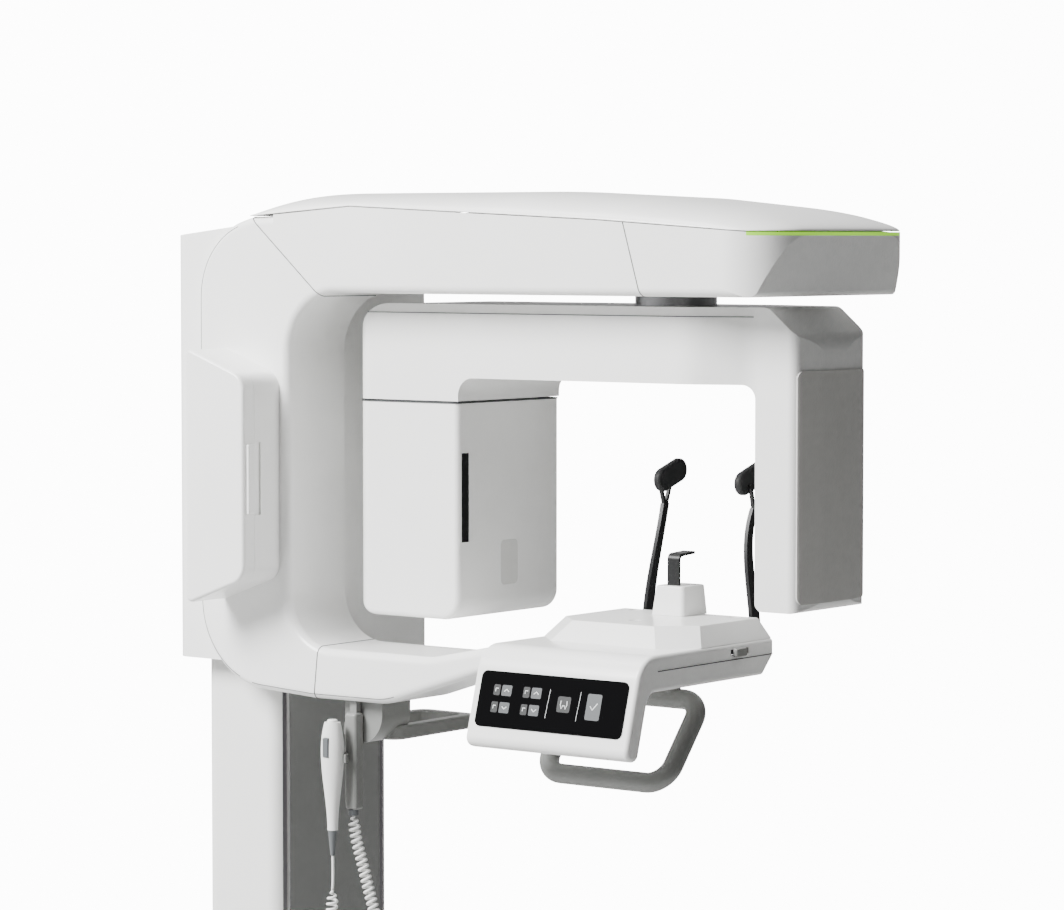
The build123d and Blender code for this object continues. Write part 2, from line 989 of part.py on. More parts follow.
def make_chin_rest():
    """The block that the chin rests on, with a plug below it and a socket for the bite piece."""
    foot = Pos(gantry_x, chin_box_y) * RectangleRounded(chin_box_width, chin_box_depth, 6)
    head = Pos(gantry_x, chin_box_y + 2) * RectangleRounded(chin_box_width - 8, chin_box_depth - 8, 6)
    low = Plane.XY.offset(chin_plate_top + 0.3) * foot
    high = Plane.XY.offset(chin_plate_top + chin_box_height) * head
    body = loft([low, high], ruled=True)
    crown = chin_plate_top + chin_box_height - 0.1
    body = fillet(body.edges().filter_by(lambda e: e.bounding_box().min.Z > crown), 3)
    body += block(
        gantry_x - socket_half + 0.5,
        gantry_x + socket_half - 0.5,
        chin_box_y - socket_half_y + 0.5,
        chin_box_y + socket_half_y - 0.5,
        chin_plate_top - socket_depth + 1,
        chin_plate_top + 0.3,
    )
    return body - block(
        gantry_x - bite_width / 2 - 0.4,
        gantry_x + bite_width / 2 + 0.4,
        bite_y - bite_thickness / 2 - 0.4,
        bite_y + bite_thickness / 2 + 0.4,
        chin_plate_top + 8,
        chin_plate_top + chin_box_height + 5,
    )


def make_bite_piece():
    """The black bite piece: a flat upright that bends towards the patient and ends in a notched lip."""
    foot_z = chin_plate_top + 9
    top_z = chin_plate_top + chin_box_height + bite_height
    y0 = bite_y - bite_thickness / 2
    side = polygon(
        [
            (y0, foot_z),
            (y0 + bite_thickness, foot_z),
            (y0 + bite_thickness, top_z - bite_thickness),
            (y0 + bite_reach, top_z - bite_thickness + 2),
            (y0 + bite_reach, top_z + 2),
            (y0, top_z),
        ],
        [0, 0, 6, 1, 1, 9],
    )
    body = along_x(side, gantry_x - bite_width / 2, gantry_x + bite_width / 2)
    notch_y = y0 + bite_reach - 7
    return body - block(gantry_x - 20, gantry_x + 20, notch_y - 1.2, notch_y + 1.2, top_z + 0.6, top_z + 5)


temple_low_y = table_back + 13


def make_temple_support(side):
    """One temple support: a pivot boss, a curved strap that forks near its top, and the pad."""
    base_x = gantry_x + side * temple_pivot_spacing / 2
    pad_x = gantry_x + side * pad_spacing / 2
    boss = lying_y(base_x, temple_pivot_z, table_back - 5, temple_low_y + 7, 12)
    steps = [
        (base_x, temple_low_y, temple_pivot_z, 15),
        (base_x - side * 2, temple_low_y, chin_plate_top, 14),
        (base_x - side * 14, temple_low_y + 4, 1430, 11),
        (pad_x + side * 4, pad_y - 6, 1500, 10),
    ]
    sections = []
    for x, y, z, half in steps:
        sections.append(Plane.XY.offset(z) * Pos(x, y + half * 0.35) * Rectangle(6, half * 1.4))
    strap = loft(sections)
    tines = []
    for offset_y in (-9, 9):
        low = Plane.XY.offset(1500) * Pos(pad_x + side * 4, pad_y - 2.5 + offset_y * 0.3) * Rectangle(5, 5)
        high = Plane.XY.offset(pad_z - 8) * Pos(pad_x + side * 5, pad_y + offset_y * 1.6) * Rectangle(5, 5)
        tines.append(loft([low, high]))
    return boss + strap + tines[0] + tines[1]


def make_temple_pad(side):
    """A soft rounded pad, tipped a little upwards towards the patient's back."""
    pad_x = gantry_x + side * pad_spacing / 2
    face = SlotOverall(74, 34)
    body = extrude(Plane.YZ * face, amount=6, both=True)
    body = fillet(body.edges(), 4)
    return Pos(pad_x - side * 4, pad_y, pad_z) * Rot(pad_tilt, 0, 0) * body


def make_temple_lever():
    """The small slide on the table's side that opens and closes the temple supports."""
    stem = block(table_right - 10, table_right + 2, lever_y - 13, lever_y - 1, lever_z - 3.5, lever_z + 3.5)
    near = lever_y - 20
    far = lever_y + 6
    knob = soft_block(table_right + 1, table_right + 9, near, far, lever_z - 6, lever_z + 6, 2.5)
    return stem + knob


def tube_along(path, radius):
    """A round bar along a path of straight runs and tangent arcs."""
    start = path @ 0
    heading = path % 0
    return sweep(Plane(origin=start, z_dir=heading) * Circle(radius), path=path)


def make_handle_loop():
    """The closed grip loop below the table: two rails across and two slanting sides, on two short feet."""
    left = handle_left
    right = table_right - handle_right_inset
    climb = handle_high_z - handle_low_z
    run = handle_back_y - handle_front_y
    slant = math.hypot(climb, run)
    plane = Plane(
        origin=((left + right) / 2, handle_front_y, handle_low_z),
        x_dir=(1, 0, 0),
        z_dir=(0, -climb, run),
    )
    width = right - left
    wire = plane * Pos(0, slant / 2) * RectangleRounded(width, slant, 32)
    path = wire.face().outer_wire()
    start = path @ 0
    ring = sweep(Plane(origin=start, z_dir=path % 0) * Circle(handle_radius), path=path)
    for x in (left + 50, right - 50):
        ring += upright(x, handle_back_y, handle_high_z - 4, table_bottom, 11)
    return ring


def make_side_grip():
    """The flat ring-shaped grip beside the column, open in its middle."""
    x_mid = (side_grip_left + side_grip_right) / 2
    y_mid = (side_grip_front + side_grip_back) / 2
    width = side_grip_right - side_grip_left
    depth = side_grip_back - side_grip_front
    outer = Pos(x_mid, y_mid) * RectangleRounded(width, depth, 24)
    inner = Pos(x_mid, y_mid) * RectangleRounded(width - 2 * side_grip_bar, depth - 2 * side_grip_bar, 10)
    body = along_z(outer - inner, side_grip_low, side_grip_low + side_grip_height)
    flat = body.edges().filter_by(lambda e: e.bounding_box().size.Z < 0.01)
    return fillet(flat, 4) - grip_housing_solid()


def grip_housing_solid():
    low = side_grip_low - 3
    side = polygon(
        [
            (housing_left, lower_arm_bottom + 2),
            (housing_right, lower_arm_bottom + 2),
            (housing_right, low),
            (housing_left, low),
        ],
        [0, 0, 44, 12],
    )
    return along_y(side, housing_front, housing_back) - along_y(frame_profile(), -300, 300)


def make_grip_housing():
    """The rounded housing under the lower arm, behind the switch's holder, that carries the side grip."""
    return grip_housing_solid()


# ---------- The storage compartment and its door ----------
def door_outline():
    """The tapering outline that the door and its housing share."""
    return polygon(
        [
            (door_left, door_bottom),
            (door_right, door_bottom + door_slope),
            (door_right, door_top - door_slope),
            (door_left, door_top),
        ],
        [8, 30, 30, 8],
    )


door_back = door_front + door_thickness
grip_low = 1481
grip_high = 1583
hinge_x = door_left - 6
hinge_heights = ((1400, 1440), (1630, 1670))


def make_storage_housing():
    """The box that stands out of the C cover, open towards the door."""
    outer = along_y(door_outline(), door_back + 0.5, frame_front)
    inner = along_y(offset(door_outline(), -5), door_back - 5, frame_front - 4)
    body = outer - inner
    body -= block(
        door_right - 2.5,
        door_right + 5,
        door_back - 1,
        door_back + 14,
        grip_low - 2,
        grip_high + 2,
    )
    for low, high in hinge_heights:
        for z_low, z_high in ((low, low + 12), (high - 12, high)):
            lug = block(hinge_x, door_left + 2, door_back + 0.5, door_back + 5, z_low, z_high)
            knuckle = upright(hinge_x, door_back + 0.5, z_low, z_high, 4.5)
            body += lug + knuckle
        body -= upright(hinge_x, door_back + 0.5, low - 1, high + 1, 2)
    return body


def make_storage_door():
    """The door's hollow shell with its hinge knuckles and the raised grip on its free edge."""
    outer = along_y(door_outline(), door_front, door_back)
    outer = fillet(edges_at_y(outer, door_front), 5)
    inner = along_y(offset(door_outline(), -5), door_front + 5, door_back + 1)
    body = outer - inner
    near = door_front + 7
    far = door_back - 2
    body += soft_block(door_right - 1, door_right + 5, near, far, grip_low, grip_high, 1.8)
    for low, high in hinge_heights:
        z_low = low + 12 + 0.3
        z_high = high - 12 - 0.3
        lug = block(hinge_x, door_left + 2, door_back - 5, door_back - 0.6, z_low, z_high)
        body += lug + upright(hinge_x, door_back + 0.5, z_low, z_high, 4.5)
        body -= upright(hinge_x, door_back + 0.5, low, high, 2 + running_clearance)
    return body


def make_hinge_pins():
    pins = [upright(hinge_x, door_back + 0.5, low, high, 2) for low, high in hinge_heights]
    return Compound(children=pins)


# ---------- The hand switch, its holder and its cord ----------
def make_switch_body():
    """The tapering grip of the exposure switch."""
    heights = ((0, 8, 7.5), (78, 15.5, 13.5), (128, 17.5, 15), (switch_length, 12, 11))
    sections = [
        Plane.XY.offset(switch_bottom + up) * Pos(switch_x, switch_y) * Ellipse(rx, ry)
        for up, rx, ry in heights
    ]
    body = loft(sections)
    body -= upright(switch_x, switch_y, switch_top - 9, switch_top + 5, button_radius + 0.3)
    return body - block(
        switch_x - rocker_half_x - 0.4,
        switch_x + rocker_half_x + 0.4,
        switch_y - 25,
        switch_y - 10,
        rocker_z - rocker_half_z - 0.6,
        rocker_z + rocker_half_z + 0.6,
    )


button_radius = 7.5
rocker_half_x = 5
rocker_half_z = 14
rocker_z = switch_top - 36


def make_exposure_button():
    cap = upright(switch_x, switch_y, switch_top - 5, switch_top + 4, button_radius)
    return fillet(cap.edges().filter_by(lambda e: e.center().Z > switch_top + 3), 2)


def make_lift_rocker():
    """The up and down key on the switch's front."""
    return soft_block(
        switch_x - rocker_half_x,
        switch_x + rocker_half_x,
        switch_y - 17,
        switch_y - 11.5,
        rocker_z - rocker_half_z,
        rocker_z + rocker_half_z,
        1.2,
    )


def make_strain_relief():
    cone = Pos(switch_x, switch_y, lead_top + relief_length / 2) * Cone(3.5, 7, relief_length)
    return cone


holder_x = 258
holder_y = -176
holder_bottom = 1050


def make_switch_holder():
    """The bracket that hangs from the frame, with a half ring behind the hand switch."""
    body = soft_block(holder_x - 11, holder_x + 11, holder_y - 8, holder_y + 12, holder_bottom, 1192, 5)
    neck = block(holder_x - 6, holder_x + 6, holder_y, holder_y + 10, 1180, lower_arm_bottom + 6)
    neck -= along_y(frame_profile(), -300, 300)
    ring = upright(switch_x, switch_y, 1122, 1134, 23) - upright(switch_x, switch_y, 1120, 1136, 19)
    ring = ring & block(switch_x - 30, switch_x + 30, switch_y + 2, switch_y + 40, 1100, 1150)
    return body + neck + ring


coil_route = [
    (switch_x - 1, switch_y, lead_top - 59),
    (switch_x - 3, switch_y, 872),
    (switch_x - 17, switch_y + 2, 818),
    (switch_x - 41, switch_y + 6, 764),
    (switch_x - 37, switch_y + 11, 708),
    (switch_x + 7, switch_y + 17, 668),
    (switch_x + 67, switch_y + 22, 672),
    (switch_x + 103, switch_y + 26, 716),
    (switch_x + 101, switch_y + 29, 772),
    (switch_x + 81, switch_y + 31, 826),
    (switch_x + 59, switch_y + 33, 878),
    (switch_x + 41, switch_y + 34, 930),
    (switch_x + 27, switch_y + 32, 980),
    (holder_x + 2, holder_y + 0.5, 1014),
    (holder_x, holder_y, 1042),
]
lead_route = [
    (switch_x, switch_y, lead_top),
    (switch_x + 0.6, switch_y, lead_top - 30),
    coil_route[0],
]


def route_radii(points):
    """At each corner, 0.45 of the shorter run divided by the tangent of half the turn."""
    radii = []
    for before, here, after in zip(points, points[1:], points[2:]):
        arrive = Vector(*here) - Vector(*before)
        leave = Vector(*after) - Vector(*here)
        turn = math.radians(arrive.get_angle(leave))
        radii.append(0.45 * min(arrive.length, leave.length) / math.tan(turn / 2))
    return radii


def make_cord_tube(name, points, radius):
    """A plain tube along a route of straight runs joined by the largest arcs that fit."""
    radii = route_radii(points)
    path = FilletPolyline(*points, radius=radii)
    tube = tube_along(path, radius)
    expected = math.pi * radius**2 * path.length
    print(name, "radii", [round(r) for r in radii], "length", round(path.length, 1))
    print(name, "volume over section times length", round(tube.volume / expected, 4))
    return tube


def make_cord_socket():
    """The collar under the holder that the cord plugs into."""
    x, y, z = coil_route[-1]
    return upright(x, y, z, holder_bottom, 7.5)


# ---------- Build ----------
def build():
    c_cover, lower_arm, arm_shell, arm_cap, light_strip = split_frame()
    generator, beam, lid, sensor = split_gantry()
    tray, top, console = split_table()
    nodes = {
        "base_plate": make_base_plate(),
        "column_shell": make_column_shell(),
        "guide_rails": make_guide_rails(),
        "actuator_motor": make_actuator_motor(),
        "actuator_tube": make_actuator_tube(),
        "actuator_rod": make_actuator_rod(),
        "carriage_plate": make_carriage_plate(),
        "slider_blocks": make_slider_blocks(),
        "lift_bridge": make_lift_bridge(),
        "rear_casing": make_casing(),
        "c_frame_cover": c_cover,
        "lower_arm_cover": lower_arm,
        "upper_arm_shell": arm_shell,
        "arm_end_cap": arm_cap,
        "light_strip": light_strip,
        "arm_lid": make_arm_lid(),
        "arm_chassis": make_arm_chassis(),
        "stage_rails": make_stage_rails(),
        "stage_plate": make_stage_plate(),
        "bearing_ring": make_bearing_outer(),
        "drive_motor": make_drive_motor(),
        "motor_pulley": make_motor_pulley(),
        "drive_belt": make_drive_belt(),
        "gantry_frame": make_gantry_frame(),
        "gantry_pulley": make_gantry_pulley(),
        "generator_cover": generator,
        "gantry_beam_shell": beam,
        "gantry_lid": lid,
        "sensor_housing": sensor,
        "scan_windows": make_scan_windows(),
        "sensor_cover_panel": make_detector_panel(),
        "image_sensor": make_sensor_panel(),
        "tube_head": make_tube_head(),
        "collimator": make_collimator(),
        "table_tray": tray,
        "table_cover": top,
        "console_shell": console,
        "touch_panel": make_touch_panel(),
        "chin_plate": make_chin_plate(),
        "chin_rest": make_chin_rest(),
        "bite_piece": make_bite_piece(),
        "temple_support_left": make_temple_support(-1),
        "temple_support_right": make_temple_support(1),
        "temple_pad_left": make_temple_pad(-1),
        "temple_pad_right": make_temple_pad(1),
        "temple_lever": make_temple_lever(),
        "grip_loop": make_handle_loop(),
        "side_grip": make_side_grip(),
        "grip_housing": make_grip_housing(),
        "storage_housing": make_storage_housing(),
        "storage_door": make_storage_door(),
        "hinge_pins": make_hinge_pins(),
        "hand_switch": make_switch_body(),
        "exposure_button": make_exposure_button(),
        "lift_rocker": make_lift_rocker(),
        "strain_relief": make_strain_relief(),
        "switch_holder": make_switch_holder(),
        "cord_lead": make_cord_tube("cord_lead", lead_route, lead_radius),
        "cord_coil": make_cord_tube("cord_coil", coil_route, coil_radius),
        "cord_socket": make_cord_socket(),
    }
    return nodes


os.makedirs("parts", exist_ok=True)
for node, shape in build().items():
    export_step(shape, f"parts/{node}.step")
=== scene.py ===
# %% [markdown]
# # A panoramic x-ray machine in Blender
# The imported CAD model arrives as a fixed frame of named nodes, in metres. The nodes that already have their
# true shape keep it and only get a finish. Pieces that CAD draws plainly, such as the curly cord and the
# domed lid, are worked out here with numpy and take over from their nodes.

# %% Load the frame
import math

import bmesh
import bpy
import numpy as np
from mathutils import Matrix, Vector


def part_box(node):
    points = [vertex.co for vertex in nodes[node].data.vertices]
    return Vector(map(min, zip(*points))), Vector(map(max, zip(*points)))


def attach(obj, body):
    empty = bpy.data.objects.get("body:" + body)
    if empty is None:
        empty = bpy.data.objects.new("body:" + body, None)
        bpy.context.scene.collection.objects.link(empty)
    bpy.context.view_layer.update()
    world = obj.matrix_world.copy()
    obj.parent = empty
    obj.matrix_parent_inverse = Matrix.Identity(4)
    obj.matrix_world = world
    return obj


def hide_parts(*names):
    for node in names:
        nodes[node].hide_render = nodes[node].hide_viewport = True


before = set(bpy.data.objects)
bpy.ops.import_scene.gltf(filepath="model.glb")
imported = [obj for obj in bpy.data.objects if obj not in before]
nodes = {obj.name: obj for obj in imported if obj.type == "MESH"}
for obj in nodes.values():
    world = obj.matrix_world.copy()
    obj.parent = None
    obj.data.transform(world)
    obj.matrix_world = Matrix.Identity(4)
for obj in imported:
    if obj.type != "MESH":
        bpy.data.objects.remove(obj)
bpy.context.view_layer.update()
MM = 0.001


# %% [markdown]
# ## The camera
# A long lens from far off keeps the arms nearly parallel, as in a catalogue picture. It stands beyond the
# arm's end, turned 37.4 degrees, at the height of the light strip, and looks a little down.

# %% Camera
TURN = math.radians(37.4)
DIP = math.radians(3.295)
camera_data = bpy.data.cameras.new("catalogue_lens")
camera_data.sensor_width = 36.0
camera_data.lens = 126.4
camera_data.clip_end = 60.0
camera = bpy.data.objects.new("catalogue_camera", camera_data)
bpy.context.scene.collection.objects.link(camera)
bpy.context.scene.camera = camera
camera.location = (3.7542, -4.3196, 1.880)
looking = Vector((-math.sin(TURN) * math.cos(DIP), math.cos(TURN) * math.cos(DIP), -math.sin(DIP)))
camera.rotation_euler = looking.to_track_quat("-Z", "Y").to_euler()

# %% [markdown]
# ## Small helpers
# Colours are written as the hex codes a designer would use, and one function turns them to linear light.
# One more adds a shader node with its settings and its links. A grid of points becomes a mesh in a single
# call.

# %% Helpers
def linear(code, alpha=1.0):
    """A hex colour as linear red, green, blue and alpha."""
    parts = [int(code[i : i + 2], 16) / 255 for i in (1, 3, 5)]
    return [p / 12.92 if p <= 0.04045 else ((p + 0.055) / 1.055) ** 2.4 for p in parts] + [alpha]


def add(tree, kind, values=None, links=None, **settings):
    """Adds one shader node, sets its properties and sockets, and links other nodes' outputs to it."""
    node = tree.nodes.new(kind)
    for name, value in settings.items():
        setattr(node, name, value)
    for socket, value in (values or {}).items():
        node.inputs[socket].default_value = value
    for socket, output in (links or {}).items():
        tree.links.new(output, node.inputs[socket])
    return node


def finish_of(name, colour, **sockets):
    """A material with one Principled shader, and that shader."""
    material = bpy.data.materials.new(name)
    material.use_nodes = True
    shader = material.node_tree.nodes["Principled BSDF"]
    shader.inputs["Base Color"].default_value = linear(colour)
    for socket, value in sockets.items():
        shader.inputs[socket.replace("_", " ").title()].default_value = value
    return material, shader


def piece_from(name, points, faces, material, body, smooth=True):
    """A new object in the scene, made from arrays, that rides on a body."""
    mesh = bpy.data.meshes.new(name)
    mesh.from_pydata(np.asarray(points).tolist(), [], np.asarray(faces).tolist())
    mesh.polygons.foreach_set("use_smooth", [smooth] * len(mesh.polygons))
    mesh.materials.append(material)
    piece = bpy.data.objects.new(name, mesh)
    bpy.context.scene.collection.objects.link(piece)
    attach(piece, body)
    return piece


def grid_faces(rows, columns, wrap=False):
    """The four-cornered faces of a grid of rows and columns, closed round its columns if wrapped."""
    i = np.arange(rows - 1)[:, None] * columns
    j = np.arange(columns if wrap else columns - 1)[None, :]
    k = (j + 1) % columns
    return np.stack([i + j, i + k, i + columns + k, i + columns + j], -1).reshape(-1, 4)


# %% [markdown]
# ## Finishes
# The covers are injection-moulded ABS, painted in semi-gloss white. Paint levels out, so it mirrors softly
# and shows only a faint orange peel, a waviness of about 3 mm. That peel is a low bump, and the colour
# drifts a little, as large mouldings do. The greys, blacks and metals each get their own grain in the same
# way.

# %% Materials
def peel(material, shader, wave_mm, height_mm, strength, drift=None):
    """Adds a noise bump of one wavelength, and if asked a slow drift between two colours."""
    tree = material.node_tree
    place = add(tree, "ShaderNodeTexCoord")
    noise = add(
        tree,
        "ShaderNodeTexNoise",
        {"Scale": 1 / (wave_mm * MM), "Detail": 2.0},
        {"Vector": place.outputs["Object"]},
    )
    bump = add(
        tree,
        "ShaderNodeBump",
        {"Strength": strength, "Distance": height_mm * MM},
        {"Height": noise.outputs["Fac"]},
    )
    tree.links.new(bump.outputs["Normal"], shader.inputs["Normal"])
    if drift:
        where = {"Vector": place.outputs["Object"]}
        slow = add(tree, "ShaderNodeTexNoise", {"Scale": 4.0, "Detail": 3.0}, where)
        ramp = add(tree, "ShaderNodeValToRGB", links={"Fac": slow.outputs["Fac"]})
        ramp.color_ramp.elements[0].position = 0.3
        ramp.color_ramp.elements[1].position = 0.7
        ramp.color_ramp.elements[0].color = linear(drift[0])
        ramp.color_ramp.elements[1].color = linear(drift[1])
        tree.links.new(ramp.outputs["Color"], shader.inputs["Base Color"])
    return material


def white_paint():
    """Semi-gloss white paint over moulded ABS."""
    material, shader = finish_of("painted_abs_white", "#F6F6F4", roughness=0.28, coat_weight=0.25)
    shader.inputs["Coat Roughness"].default_value = 0.12
    return peel(material, shader, 3, 0.05, 0.10, ("#F3F3F1", "#F8F8F7"))


def grey_satin(name, dark, light, rough=0.42):
    """Moulded plastic with a fine spark-eroded grain, about half a millimetre across."""
    material, shader = finish_of(name, dark, roughness=rough)
    return peel(material, shader, 0.6, 0.03, 0.25, (dark, light))


def ground_steel(name, code, rough):
    """Bare machined metal, whose scratches run along the part as long thin noise."""
    material, shader = finish_of(name, code, metallic=1.0, roughness=rough)
    tree = material.node_tree
    place = add(tree, "ShaderNodeTexCoord")
    where = {"Vector": place.outputs["Object"]}
    stretch = add(tree, "ShaderNodeMapping", {"Scale": (1400.0, 1400.0, 30.0)}, where)
    where = {"Vector": stretch.outputs["Vector"]}
    lines = add(tree, "ShaderNodeTexNoise", {"Scale": 1.0, "Detail": 2.0}, where)
    height = {"Height": lines.outputs["Fac"]}
    bump = add(tree, "ShaderNodeBump", {"Strength": 0.15, "Distance": 0.00003}, height)
    tree.links.new(bump.outputs["Normal"], shader.inputs["Normal"])
    return material


WHITE = white_paint()
GREY = grey_satin("moulded_grip_grey", "#80817F", "#898A88", 0.32)
DARK_GREY = grey_satin("moulded_key_grey", "#5B5E60", "#64676A")
PALE = grey_satin("moulded_switch_pale", "#E9E9E7", "#F1F1EF", 0.3)
BLACK = grey_satin("moulded_black_plastic", "#0B0C0C", "#111213", 0.38)
RUBBER = grey_satin("moulded_pad_rubber", "#141516", "#1B1C1D", 0.6)
SATIN_PANEL = grey_satin("satin_sensor_panel", "#CFCECB", "#D4D3D0", 0.5)
STEEL = ground_steel("ground_steel", "#B4B5B8", 0.3)
ALUMINIUM = ground_steel("milled_aluminium", "#C6C7CA", 0.35)
PRIMER = grey_satin("primed_steel_plate", "#5A5D61", "#63666A", 0.55)
BASE_COAT = grey_satin("powder_coated_steel", "#A9ABAC", "#B3B5B6", 0.5)
SEAM, seam_shader = finish_of("seam_shadow", "#3A3C3D", roughness=0.7)
peel(SEAM, seam_shader, 1, 0.02, 0.2, ("#343637", "#444647"))


def cover_glass():
    """Black printed cover glass: a dark ground under a clear polished front."""
    material, shader = finish_of("printed_cover_glass", "#020203", roughness=0.06, coat_weight=0.0)
    shader.inputs["Specular IOR Level"].default_value = 0.12
    return peel(material, shader, 40, 0.02, 0.05, ("#010102", "#030304"))


def light_guide():
    """The lit acrylic strip: a lime green that glows evenly."""
    material, shader = finish_of("lit_acrylic_green", "#8CCB2C", roughness=0.3)
    shader.inputs["Emission Strength"].default_value = 1.1
    shader.inputs["Emission Color"].default_value = linear("#93D436")
    return peel(material, shader, 8, 0.02, 0.1, ("#86C628", "#98D63A"))


GLASS = cover_glass()
GLOW = light_guide()


def split_finish(name, axis, edge, below, above, rough):
    """Two colours that meet in a sharp line where one axis passes the edge."""
    material, shader = finish_of(name, below, roughness=rough)
    peel(material, shader, 3, 0.05, 0.1)
    tree = material.node_tree
    place = add(tree, "ShaderNodeTexCoord")
    axes = add(tree, "ShaderNodeSeparateXYZ", links={"Vector": place.outputs["Object"]})
    beyond = add(tree, "ShaderNodeMath", {1: edge}, {0: axes.outputs[axis]}, operation="GREATER_THAN")
    mix = add(tree, "ShaderNodeMix", links={"Factor": beyond.outputs["Value"]}, data_type="RGBA")
    mix.inputs["A"].default_value = linear(below)
    mix.inputs["B"].default_value = linear(above)
    tree.links.new(mix.outputs["Result"], shader.inputs["Base Color"])
    return material


# Painted shade: the column's +X face, past column_edge, is coloured grey #8B8C8B because it faces away from
# the key light. The rest keeps the white enamel.
column_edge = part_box("column_shell")[1].x - 1.2 * MM
COLUMN = split_finish("column_white_with_painted_shade_side", "X", column_edge, "#F2F2F0", "#8B8C8B", 0.35)
WINDOWS = split_finish("smoked_slit_and_pale_plug", "Y", -0.08, "#0C0D0E", "#DDDDDB", 0.25)

# %% [markdown]
# ## Give every CAD node its finish
# A node with the right shape keeps its mesh. Only its material slot changes.

# %% Assign finishes
finishes = {
    COLUMN: ["column_shell"],
    WINDOWS: ["scan_windows"],
    BASE_COAT: ["base_plate"],
    WHITE: [
        "rear_casing",
        "c_frame_cover",
        "lower_arm_cover",
        "upper_arm_shell",
        "arm_end_cap",
        "arm_lid",
        "generator_cover",
        "gantry_beam_shell",
        "gantry_lid",
        "sensor_housing",
        "table_tray",
        "table_cover",
        "console_shell",
        "chin_plate",
        "chin_rest",
        "storage_housing",
        "storage_door",
    ],
    GREY: ["grip_loop", "side_grip", "grip_housing", "switch_holder", "temple_lever"],
    DARK_GREY: ["lift_rocker", "strain_relief", "cord_socket"],
    PALE: ["hand_switch", "exposure_button", "cord_lead", "cord_coil"],
    BLACK: [
        "bite_piece",
        "temple_support_left",
        "temple_support_right",
        "actuator_motor",
        "drive_motor",
        "image_sensor",
    ],
    RUBBER: ["temple_pad_left", "temple_pad_right", "drive_belt"],
    SATIN_PANEL: ["sensor_cover_panel"],
    STEEL: ["guide_rails", "actuator_rod", "slider_blocks", "stage_rails", "bearing_ring", "hinge_pins"],
    ALUMINIUM: ["actuator_tube", "stage_plate", "motor_pulley", "gantry_frame", "gantry_pulley"],
    PRIMER: ["carriage_plate", "lift_bridge", "arm_chassis", "tube_head", "collimator"],
    GLASS: ["touch_panel"],
    GLOW: ["light_strip"],
}
for material, names in finishes.items():
    for name in names:
        mesh = nodes[name].data
        mesh.materials.clear()
        mesh.materials.append(material)
print("finished nodes", sum(len(names) for names in finishes.values()), "of", len(nodes))

# %% [markdown]
# ## The curly cord
# The switch's lead leaves its strain relief straight, curls into a tight coil that hangs in a loop, and
# ends in the collar under the holder. The route is a NURBS spline through listed control points, as
# gravity would pull it. The helix then follows points read from that spline, so the coil bends with the
# loop.

# %% Route of the cord
HANG = (0.243, -0.205, 0.985)
ROUTE_MM = [
    (0, 0, 985),
    (0.6, 0, 955),
    (-1, 0, 926),
    (-3, 0, 872),
    (-17, 2, 818),
    (-41, 6, 764),
    (-37, 11, 708),
    (7, 17, 668),
    (67, 22, 672),
    (103, 26, 716),
    (101, 29, 772),
    (81, 31, 826),
    (59, 33, 878),
    (41, 34, 930),
    (27, 32, 980),
    (17, 29.5, 1014),
    (15, 29, 1042),
]
LEAD_LENGTH = 0.052
WIRE = 0.004
COIL_OUTSIDE = 0.018
PITCH = 0.0084


def spline_points(route):
    """Points along the NURBS spline that has the route as its control points."""
    data = bpy.data.curves.new("cord_route", "CURVE")
    data.dimensions = "3D"
    spline = data.splines.new("NURBS")
    spline.points.add(len(route) - 1)
    for point, place in zip(spline.points, route):
        point.co = (*place, 1.0)
    spline.order_u = 3
    spline.use_endpoint_u = True
    spline.resolution_u = 24
    holder = bpy.data.objects.new("cord_route", data)
    mesh = bpy.data.meshes.new_from_object(holder)
    points = np.array([v.co for v in mesh.vertices])
    bpy.data.objects.remove(holder)
    return points


def along(points, distances):
    """Points at even distances along a polyline, by straight interpolation."""
    steps = np.linalg.norm(np.diff(points, axis=0), axis=1)
    reach = np.concatenate([[0], np.cumsum(steps)])
    return np.stack([np.interp(distances, reach, points[:, k]) for k in range(3)], -1), reach[-1]


route = [(HANG[0] + x * MM, HANG[1] + y * MM, z * MM) for x, y, z in ROUTE_MM]
centre_line = spline_points(route)
cord_run = along(centre_line, [0])[1]
print("cord route length", round(float(cord_run), 4))

# %% Coil of the cord
def frames_along(points):
    """Unit tangents and two sideways axes at each point, the first square to the tangent and to y."""
    tangents = np.gradient(points, axis=0)
    tangents /= np.linalg.norm(tangents, axis=1)[:, None]
    side = np.cross(tangents, (0.0, 1.0, 0.0))
    side /= np.linalg.norm(side, axis=1)[:, None]
    return tangents, side, np.cross(tangents, side)


def helix_along(points, lead, pitch, radius):
    """The route itself for the lead's length, then a helix round it that opens and closes over two turns."""
    per_turn = 18
    coil_length = cord_run - lead
    count = int(coil_length / pitch * per_turn)
    s = np.concatenate([np.linspace(0, lead, 12)[:-1], np.linspace(lead, cord_run, count)])
    line = along(points, s)[0]
    side, other = frames_along(line)[1:]
    open_up = np.clip((s - lead) / (2 * pitch), 0, 1)
    close_up = np.clip((cord_run - s) / (2 * pitch), 0, 1)
    swell = radius * np.sin(0.5 * np.pi * open_up) * np.sin(0.5 * np.pi * close_up)
    turn = 2 * np.pi * np.clip(s - lead, 0, None) / pitch
    return line + side * (swell * np.cos(turn))[:, None] + other * (swell * np.sin(turn))[:, None]


